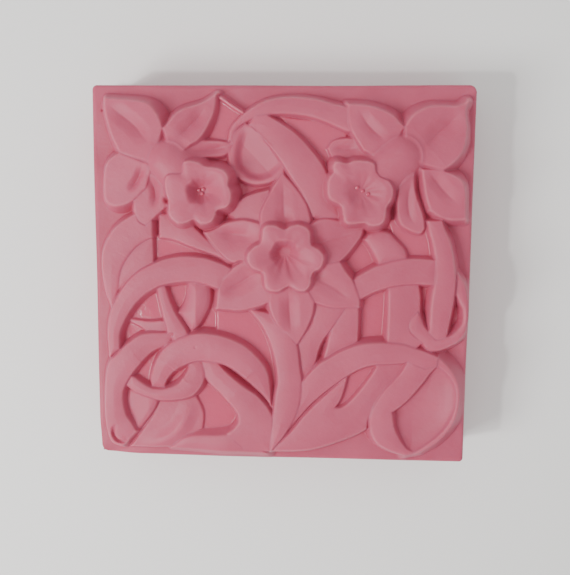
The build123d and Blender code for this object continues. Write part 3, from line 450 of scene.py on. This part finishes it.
def carve(name, spec, slope):
    """A petal, leaf or stem."""
    outline = chain(spec["runs"])
    win = window(outline)
    x, y = X[win], Y[win]
    d = into(x, y, outline)
    spine = np.array(spec["spine"], float)
    _, along = to_line(x, y, spine[:, :2])
    marks = np.concatenate([[0], np.cumsum(np.hypot(*np.diff(spine[:, :2], axis=0).T))])
    base = np.interp(along * marks[-1], marks, spine[:, 2])
    inward = np.clip(d / d.max(), 0, 1)
    roll, drop = spec.get("roll", ROLL), spec.get("drop", DROP)
    turn = 1 - np.sqrt(1 - (1 - np.clip(d / roll, 0, 1)) ** 2)
    z = base - drop * turn + spec["crown"] * (1 - (1 - inward) ** 2)
    if "dish" in spec:
        rise, length = spec["dish"]
        z += rise * np.exp(-np.maximum(d, 0) / length)
    for points, depth, wide in spec.get("folds", ()):
        away, place = to_line(x, y, smooth(points))
        fade = ease(place * FOLD_FADE) * ease((1 - place) * FOLD_FADE)
        t = np.clip(1 - away / wide, 0, 1)
        crease = CREASE_DEEP * np.exp(-(away / CREASE_WIDE) ** 2)
        z -= fade * (depth * (0.5 * t ** 1.5 + 0.5 * ease(t)) + crease)
    for hx, hy, depth, wide in spec.get("hollows", ()):
        z -= depth * np.exp(-((x - hx) ** 2 + (y - hy) ** 2) / wide ** 2)
    lay(name, win, d, z, base - drop, spec.get("slope", slope), spec.get("blend", 0.0))


def swell(name, spec):
    """A flower's tube: highest along its middle line."""
    (ax, ay, ar), (bx, by, br) = spec["foot"], spec["back"]
    line = np.array([(ax, ay), (bx, by)], float)
    win = window(line, 12)
    x, y = X[win], Y[win]
    away, along = to_line(x, y, line)
    radius = ar + (br - ar) * along
    round_top = np.clip(1 - (away / radius) ** 2, 0, 1) ** 0.8
    z = TUBE_LOW + (spec["top"] - TUBE_LOW) * round_top
    lay(name, win, radius - away, z, np.full(away.shape, TUBE_LOW), TUBE_SLOPE, join=TUBE_JOIN)


def trumpet(name, spec):
    """A flower's trumpet: a thin frilled rim round a bowl, with a throat that is steep on one side."""
    rim = smooth(spec["rim"], closed=True)
    win = window(rim)
    x, y = X[win], Y[win]
    d = into(x, y, rim)
    mx, my = spec["mouth"]
    rx, ry = rim[:, 0] - mx, rim[:, 1] - my
    bearing, rim_away = np.arctan2(ry, rx), np.hypot(rx, ry)
    order = np.argsort(bearing)
    angle, away = np.arctan2(y - my, x - mx), np.hypot(x - mx, y - my)
    reach = np.interp(angle, bearing[order], rim_away[order], period=2 * np.pi)
    out = ease(away / rim_away.mean())
    s = away / (reach * out + rim_away.mean() * (1 - out))    # 0 at the mouth, about 1 at the rim
    frill = (rim_away - blur_ring(rim_away, len(rim_away) // 10)) / FRILL_SCALE
    lobe = np.interp(angle, bearing[order], frill[order], period=2 * np.pi)
    top, floor = spec["top"], spec["floor"]
    steep = (0.5 + 0.5 * np.cos(angle - np.radians(spec["steep"]))) ** 0.7
    start, end = spec["wall"]
    fall = steep * ease((s - start) / (end - start)) + (1 - steep) * ease(s / 0.95)
    z = floor + (top - floor) * fall
    z += FRILL_LIFT * lobe * ease((s - 0.4) / 0.5) - LIP_FALL * ease((s - 0.75) / 0.35)
    fold = np.cos(RIPPLES * angle + 0.7) * ease(s / 0.3) * ease((0.9 - s) / 0.4)
    z += spec["ripple"] * fold * (1.2 - steep)
    edge = top - RIM_THICK + FRILL_LIFT * lobe
    z = np.minimum(z, edge + 2.0 * np.sqrt(np.clip(d, 0, None)))
    lay(name, win, d, z, edge, TRUMPET_SLOPE, join=TRUMPET_JOIN)


for outline, level in FLOORS:
    outline = np.array(outline, float)
    win = window(outline)
    inside = ease(into(X[win], Y[win], outline) / FLOOR_RAMP + 0.5)
    height[win] = np.maximum(height[win], level * inside)
for points, level, wide in RIBS:
    away, _ = to_line(X, Y, smooth(points))
    height = np.maximum(height, level * np.exp(-(away / wide) ** 2))
for name, spec in LEAVES.items():
    carve(name, spec, LEAF_SLOPE)
for name, spec in PETALS.items():
    carve(name, spec, PETAL_SLOPE)
for name, spec in TUBES.items():
    swell(name, spec)
for name, spec in TRUMPETS.items():
    trumpet(name, spec)

height = blur(height, SOFTEN / STEP)
rng = np.random.default_rng(WAVER_SEED)
waver = blur(rng.standard_normal(X.shape), WAVER_SIZE / STEP)
height += WAVER_HIGH * waver / waver.std()
for px, py, depth, wide in PITS:
    height += depth * np.exp(-((X - px) ** 2 + (Y - py) ** 2) / wide ** 2)
# What the material reads. hollow: above 0 lower than what is round it, below 0 higher; from it the material
# puts painted shade in hollows and a painted highlight on crests. gap: 1 on the floors between the leaves,
# where the material puts a painted red glow and lowers the roughness.
hollow = blur(height, HOLLOW_REACH / STEP) - height
crest = CREST_GAIN * (blur(height, CREST_REACH / STEP) - height)
hollow = np.where(hollow < 0, np.minimum(crest, 0), hollow)
gap = blur(((owner == 0) & (height > GAP_LEVEL)).astype(float), GAP_SOFT / STEP)


# ---- Meshes ---------------------------------------------------------------------------------------
def mesh_object(name, verts, faces, normals=None, marks=None):
    """marks: the hollow and gap values of each vertex, from which the material puts painted shade, a painted
    highlight and a painted red glow.
    """
    mesh = bpy.data.meshes.new(name)
    mesh.from_pydata([], [], [])
    mesh.vertices.add(len(verts))
    mesh.vertices.foreach_set("co", np.asarray(verts, np.float32).ravel())
    faces = np.asarray(faces, np.int32)
    mesh.loops.add(faces.size)
    mesh.loops.foreach_set("vertex_index", faces.ravel())
    mesh.polygons.add(len(faces))
    mesh.polygons.foreach_set("loop_start", np.arange(0, faces.size, faces.shape[1], dtype=np.int32))
    mesh.update(calc_edges=True)
    mesh.validate()
    mesh.polygons.foreach_set("use_smooth", np.ones(len(mesh.polygons), bool))
    if marks is not None:
        for layer_name, values in zip(("hollow", "gap"), marks):
            layer = mesh.attributes.new(layer_name, "FLOAT", "POINT")
            layer.data.foreach_set("value", np.asarray(values, np.float32))
    if normals is not None:
        mesh.normals_split_custom_set_from_vertices(np.asarray(normals, np.float32))
    obj = bpy.data.objects.new(name, mesh)
    bpy.context.collection.objects.link(obj)
    return obj


def quads(index, up=True):
    """Faces between the vertices of a grid, turned up or down."""
    a, b, c, d = index[:-1, :-1], index[:-1, 1:], index[1:, 1:], index[1:, :-1]
    return np.stack([a, b, c, d] if up else [a, d, c, b], axis=2).reshape(-1, 4)


gy, gx = np.gradient(height, STEP)
NORMALS = np.dstack([-gx, -gy, np.ones_like(gx)])
NORMALS /= np.linalg.norm(NORMALS, axis=2, keepdims=True)
POINTS = np.dstack([X * MM, Y * MM, GROUND + height * MM])
INDEX = np.arange(COUNT * COUNT).reshape(COUNT, COUNT)
CELLS = quads(INDEX)
cell_owner = owner[:-1, :-1].ravel()


def relief_piece(number):
    """The patch of the field that belongs to one piece."""
    cells = CELLS[cell_owner == number]
    used, local = np.unique(cells, return_inverse=True)
    obj = mesh_object(NAMES[number] + "_skin", POINTS.reshape(-1, 3)[used], local.reshape(-1, 4),
                      NORMALS.reshape(-1, 3)[used], (hollow.ravel()[used], gap.ravel()[used]))
    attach(obj, "root")
    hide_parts(NAMES[number])
    return obj


skins = [relief_piece(number) for number in range(1, len(NAMES))]

# ---- Tray -----------------------------------------------------------------------------------------
FACE_HALF = 44.0
EDGE = FACE_HALF - HALF                # width of the rounded edge
LIP_HALF, LIP_HIGH = TRAY_HIGH[0] / MM, 2.5
RIM_HALF, CAVITY_HALF, CEILING_HALF = 44.7, 41.7, 41.1
DEEP = GROUND / MM                     # from the underside to the ground
CEILING, CEILING_FILLET = 16.0, 1.6    # the cavity's depth, and the rounding round its ceiling
SHELL_SOFT, SHELL_SHARE = 1.2, 0.75    # blur and share of the relief that shows inside the cavity
LIP_FILLET = 0.6                       # where a side wall runs out onto the lip
SIDE_BENDS = ((0.07, 3, 0.4), (0.05, 7, 1.9))    # unevenness of the side walls: size, turns, phase
WORN_CORNER = (0.6, 0.8)               # how far the lower left corner is pulled in
CORNERS = {(-1, 1): 1.1, (1, 1): 1.7, (1, -1): 1.0, (-1, -1): 2.0}    # corner radii of the face


def square_loop():
    """Indices of the grid's outer edge, anticlockwise from its lower left corner."""
    return np.concatenate([INDEX[0, :-1], INDEX[:-1, -1], INDEX[-1, :0:-1], INDEX[:0:-1, 0]])


LOOP = square_loop()
EDGE_X, EDGE_Y = X.ravel()[LOOP] / HALF, Y.ravel()[LOOP] / HALF


def ring(half, grow=0.0, wobble=0.0):
    """The grid's edge pushed out to a square of the given half side, with its corners rounded."""
    x, y = EDGE_X * half, EDGE_Y * half
    out = np.stack([x, y], axis=1)
    for (sx, sy), radius in CORNERS.items():
        r = max(radius + grow, 0.3)
        cx, cy = sx * (half - r), sy * (half - r)
        there = (x * sx > half - r) & (y * sy > half - r)
        away = np.stack([x - cx, y - cy], axis=1)
        reach = np.linalg.norm(away, axis=1, keepdims=True)
        out = np.where(there[:, None], [cx, cy] + away / np.maximum(reach, 1e-6) * r, out)
    turn = np.arctan2(EDGE_Y, EDGE_X)
    bend = sum(size * np.sin(turns * turn + phase) for size, turns, phase in SIDE_BENDS)
    out *= (1 + wobble * bend / FACE_HALF)[:, None]
    low_left = ease((-out[:, 0] - 34) / 10) * ease((-out[:, 1] - 34) / 10)
    return out + wobble * low_left[:, None] * WORN_CORNER


def build_tray():
    """Ground between the leaves, rounded edge, drafted walls, lip, and the open cavity's walls up to its
    ceiling.
    """
    ground_cells = CELLS[cell_owner == 0]
    edge_rise = height.ravel()[LOOP]
    rows = []
    for t in np.linspace(0, 1, 7)[1:]:
        phi = t * np.pi / 2
        half = HALF + EDGE * np.sin(phi)
        level = DEEP + edge_rise * (1 - t) ** 1.5 - EDGE * (1 - np.cos(phi))
        rows.append((ring(half, half - FACE_HALF, t), level))
    for t in np.linspace(0, 1, 9)[1:]:
        level = DEEP - EDGE + (LIP_HIGH + LIP_FILLET - DEEP + EDGE) * t
        rows.append((ring(FACE_HALF + (RIM_HALF - FACE_HALF) * t, t, 1 - t), level))
    profile = [(44.9, LIP_HIGH + 0.15), (45.4, LIP_HIGH), (LIP_HALF - 0.5, LIP_HIGH),
               (LIP_HALF - 0.12, LIP_HIGH - 0.2), (LIP_HALF, LIP_HIGH - 0.6), (LIP_HALF, 0.5),
               (LIP_HALF - 0.12, 0.15), (LIP_HALF - 0.5, 0.0),
               (42.1, 0.0), (41.8, 0.15), (CAVITY_HALF, 0.5), (CEILING_HALF, CEILING)]
    rows += [(ring(half, 1.2), level) for half, level in profile]
    verts = [POINTS.reshape(-1, 3)]
    for places, level in rows:
        level = np.broadcast_to(level, len(places))
        verts.append(np.column_stack([places * MM, level * MM]))
    count = len(LOOP)
    loops = [LOOP] + [COUNT * COUNT + i * count + np.arange(count) for i in range(len(rows))]
    faces = [ground_cells]
    for inner, outer in zip(loops, loops[1:]):
        faces.append(np.column_stack([np.roll(inner, -1), inner, outer, np.roll(outer, -1)]))
    faces = np.vstack(faces)
    verts = np.vstack(verts)
    used, local = np.unique(faces, return_inverse=True)
    marks = np.zeros((2, len(verts)))
    marks[:, :COUNT * COUNT] = hollow.ravel(), gap.ravel()
    obj = mesh_object("mould_tray_skin", verts[used], local.reshape(-1, 4), marks=marks[:, used])
    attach(obj, "root")
    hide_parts("mould_tray")
    return obj


def build_ceiling():
    """The cavity's ceiling, where the relief shows again as hollows that the soap fills."""
    keep = slice(0, COUNT, 2)
    reach = SHELL_SOFT / STEP
    shell = blur(np.minimum(height, blur(height, reach)), reach)[keep, keep]
    x, y = X[keep, keep] / HALF * CEILING_HALF, Y[keep, keep] / HALF * CEILING_HALF
    inset = np.minimum(CEILING_HALF - np.abs(x), CEILING_HALF - np.abs(y))
    turn = 1 - np.clip(inset / CEILING_FILLET, 0, 1)
    fillet = CEILING_FILLET * (1 - np.sqrt(1 - turn ** 2))
    level = CEILING + SHELL_SHARE * shell * ease((inset - 1.0) / 2.0) - fillet
    verts = np.dstack([x * MM, y * MM, level * MM]).reshape(-1, 3)
    n = x.shape[0]
    index = np.arange(n * n).reshape(n, n)
    obj = mesh_object("mould_tray_ceiling", verts, quads(index, up=False), marks=np.zeros((2, n * n)))
    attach(obj, "root")
    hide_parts("mould_tray")
    return obj


tray = build_tray()
ceiling = build_ceiling()


# ---- Stamens --------------------------------------------------------------------------------------
def build_stamens(node, places):
    """Short filaments, each a lathe with a rounded head, standing on a throat's floor."""
    sides, verts, faces = 12, [], []
    root, rise = 0.8, 0.5              # how far a filament goes under the floor and stands above it
    profile = [(0.30, 0.0), (0.26, 0.4), (0.24, 0.75), (0.36, 0.85), (0.42, 0.92), (0.34, 0.98),
               (0.02, 1.0)]            # radius, part of the way up
    for px, py in places:
        floor = height[np.searchsorted(LINE, py), np.searchsorted(LINE, px)]
        start = len(verts)
        for radius, part in profile:
            for k in range(sides):
                turn = 2 * np.pi * k / sides
                verts.append(((px + radius * np.cos(turn)) * MM, (py + radius * np.sin(turn)) * MM,
                              GROUND + (floor - root + (root + rise) * part) * MM))
        for r in range(len(profile) - 1):
            for k in range(sides):
                near, far = start + r * sides + k, start + r * sides + (k + 1) % sides
                faces.append((near, far, far + sides, near + sides))
    # The stamens are marked as gap, so they take the painted red glow and the lower roughness.
    obj = mesh_object(node + "_skin", verts, faces, marks=np.ones((2, len(verts))) * [[0.0], [1.0]])
    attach(obj, "root")
    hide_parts(node)
    return obj


stamens = [build_stamens("left_stamens", [(-17.4, 20.2), (-18.4, 20.0), (-17.7, 19.2)]),
           build_stamens("right_stamens", [(17.2, 20.8), (18.4, 20.1), (19.6, 19.4)])]


# ---- Material -------------------------------------------------------------------------------------
PINK_DARK, PINK_LIGHT = (0.402, 0.071, 0.121, 1), (0.460, 0.089, 0.147, 1)
# The gap colour is a painted red glow on the gap floors, the hollow colour is painted shade in hollows and
# the crest colour is a painted highlight on crests; the two pinks are the silicone's own mottle and the floor
# colour is the floor's own.
PAINTED_GAP_GLOW, PAINTED_HOLLOW_SHADE = (0.480, 0.078, 0.136, 1), (0.42, 0.034, 0.062, 1)
PAINTED_CREST_HIGHLIGHT, FLOOR_COLOUR = (0.60, 0.20, 0.255, 1), (0.82, 0.81, 0.79, 1)


def silicone():
    """Pink silicone that light enters, glossier in the gaps, with painted light: a painted red glow in the
    gaps, painted shade in hollows and a painted highlight on crests.
    """
    mat = bpy.data.materials.new("silicone")
    mat.use_nodes = True
    tree = mat.node_tree
    tree.nodes.clear()
    new = tree.nodes.new
    out, shader = new("ShaderNodeOutputMaterial"), new("ShaderNodeBsdfPrincipled")
    tree.links.new(shader.outputs["BSDF"], out.inputs["Surface"])
    shader.inputs["Specular IOR Level"].default_value = 0.35
    shader.inputs["IOR"].default_value = 1.41
    shader.inputs["Subsurface Weight"].default_value = 0.55
    shader.inputs["Subsurface Radius"].default_value = (0.75, 0.32, 0.30)
    shader.inputs["Subsurface Scale"].default_value = 0.0014
    where = new("ShaderNodeTexCoord")
    mottle, grain, pores = new("ShaderNodeTexNoise"), new("ShaderNodeTexNoise"), new("ShaderNodeTexNoise")
    for node, scale, detail in ((mottle, 90, 9), (grain, 900, 3), (pores, 2600, 2)):
        node.inputs["Scale"].default_value = scale
        node.inputs["Detail"].default_value = detail
        tree.links.new(where.outputs["Object"], node.inputs["Vector"])
    base = new("ShaderNodeValToRGB")
    base.color_ramp.elements[0].position = 0.3
    base.color_ramp.elements[1].position = 0.7
    base.color_ramp.elements[0].color = PINK_DARK
    base.color_ramp.elements[1].color = PINK_LIGHT
    tree.links.new(mottle.outputs["Fac"], base.inputs["Fac"])
    # Painted glow: gap floors and stamens are mixed towards a red that stands in for light scattered in the
    # gaps; the same mask makes them glossier.
    sunk, glow, gloss = new("ShaderNodeAttribute"), new("ShaderNodeMix"), new("ShaderNodeMapRange")
    sunk.attribute_name = "gap"
    glow.data_type = "RGBA"
    glow.inputs["B"].default_value = PAINTED_GAP_GLOW
    gloss.inputs["To Min"].default_value = 0.5
    gloss.inputs["To Max"].default_value = 0.14
    tree.links.new(sunk.outputs["Fac"], glow.inputs["Factor"])
    tree.links.new(sunk.outputs["Fac"], gloss.inputs["Value"])
    tree.links.new(base.outputs["Color"], glow.inputs["A"])
    tree.links.new(gloss.outputs["Result"], shader.inputs["Roughness"])
    # Painted shade: hollows are mixed towards a darker red.
    depth, ramp = new("ShaderNodeAttribute"), new("ShaderNodeMapRange")
    depth.attribute_name = "hollow"
    ramp.inputs["From Min"].default_value = 0.25
    ramp.inputs["From Max"].default_value = 1.5
    ramp.inputs["To Max"].default_value = 0.45
    tree.links.new(depth.outputs["Fac"], ramp.inputs["Value"])
    mix = new("ShaderNodeMix")
    mix.data_type = "RGBA"
    mix.inputs["B"].default_value = PAINTED_HOLLOW_SHADE
    tree.links.new(ramp.outputs["Result"], mix.inputs["Factor"])
    tree.links.new(glow.outputs["Result"], mix.inputs["A"])
    # Painted highlight: crests are mixed towards a paler pink.
    edge, pale = new("ShaderNodeMapRange"), new("ShaderNodeMix")
    edge.inputs["From Min"].default_value = -0.12
    edge.inputs["From Max"].default_value = -0.7
    edge.inputs["To Max"].default_value = 0.45
    tree.links.new(depth.outputs["Fac"], edge.inputs["Value"])
    pale.data_type = "RGBA"
    pale.inputs["B"].default_value = PAINTED_CREST_HIGHLIGHT
    tree.links.new(edge.outputs["Result"], pale.inputs["Factor"])
    tree.links.new(mix.outputs["Result"], pale.inputs["A"])
    tree.links.new(pale.outputs["Result"], shader.inputs["Base Color"])
    coarse, fine = new("ShaderNodeBump"), new("ShaderNodeBump")
    coarse.inputs["Strength"].default_value = 0.25
    coarse.inputs["Distance"].default_value = 0.0003
    fine.inputs["Strength"].default_value = 0.2
    fine.inputs["Distance"].default_value = 0.00008
    tree.links.new(grain.outputs["Fac"], coarse.inputs["Height"])
    tree.links.new(pores.outputs["Fac"], fine.inputs["Height"])
    tree.links.new(coarse.outputs["Normal"], fine.inputs["Normal"])
    tree.links.new(fine.outputs["Normal"], shader.inputs["Normal"])
    return mat


pink = silicone()
for obj in skins + [tray, ceiling] + stamens:
    obj.data.materials.append(pink)


# ---- Floor, lights and camera ---------------------------------------------------------------------
def build_floor():
    """The plain pale surface that the mould lies on."""
    n, half_side = 5, 1.5
    xs = np.linspace(-half_side, half_side, n)
    fx, fy = np.meshgrid(xs, xs)
    verts = np.dstack([fx, fy, np.zeros_like(fx)]).reshape(-1, 3)
    index = np.arange(n * n).reshape(n, n)
    obj = mesh_object("floor", verts, quads(index))
    mat = bpy.data.materials.new("floor")
    mat.use_nodes = True
    shader = mat.node_tree.nodes["Principled BSDF"]
    shader.inputs["Base Color"].default_value = FLOOR_COLOUR
    shader.inputs["Roughness"].default_value = 0.8
    obj.data.materials.append(mat)


def area_light(name, place, size, watts):
    """A square white light at a place, aimed at the origin."""
    data = bpy.data.lights.new(name, "AREA")
    data.shape, data.size, data.size_y = "RECTANGLE", size, size
    data.energy = watts
    obj = bpy.data.objects.new(name, data)
    aim = np.array(place, float) / np.linalg.norm(place)
    side = np.cross((0, 1, 0) if abs(aim[2]) > 0.9 else (0, 0, 1), aim)
    side /= np.linalg.norm(side)
    up = np.cross(aim, side)
    obj.matrix_world = Matrix([[side[0], up[0], aim[0], place[0]], [side[1], up[1], aim[1], place[1]],
                               [side[2], up[2], aim[2], place[2]], [0, 0, 0, 1]])
    bpy.context.collection.objects.link(obj)


build_floor()
area_light("key", (-0.27, -0.12, 0.34), 0.14, 1.35)
area_light("spark", (-0.22, -0.08, 0.40), 0.02, 0.6)
area_light("fill", (0.05, 0.2, 0.5), 0.5, 0.4)

world = bpy.data.worlds.new("studio")
world.use_nodes = True
world.node_tree.nodes["Background"].inputs["Color"].default_value = (1, 1, 1, 1)
world.node_tree.nodes["Background"].inputs["Strength"].default_value = 0.90
bpy.context.scene.world = world

# The camera looks almost straight down at the middle, from a little towards the top right corner.
camera_data = bpy.data.cameras.new("camera")
camera_data.sensor_width = 36
camera_data.lens = 46.33
camera_data.clip_start = 0.01
camera = bpy.data.objects.new("camera", camera_data)
camera.matrix_world = Matrix([[0.99858, -0.01428, 0.05141, 0.0100],
                              [0.00805, 0.99281, 0.11941, 0.0183],
                              [-0.05274, -0.11883, 0.99151, GROUND + 0.17234],
                              [0, 0, 0, 1]])
bpy.context.collection.objects.link(camera)
bpy.context.scene.camera = camera
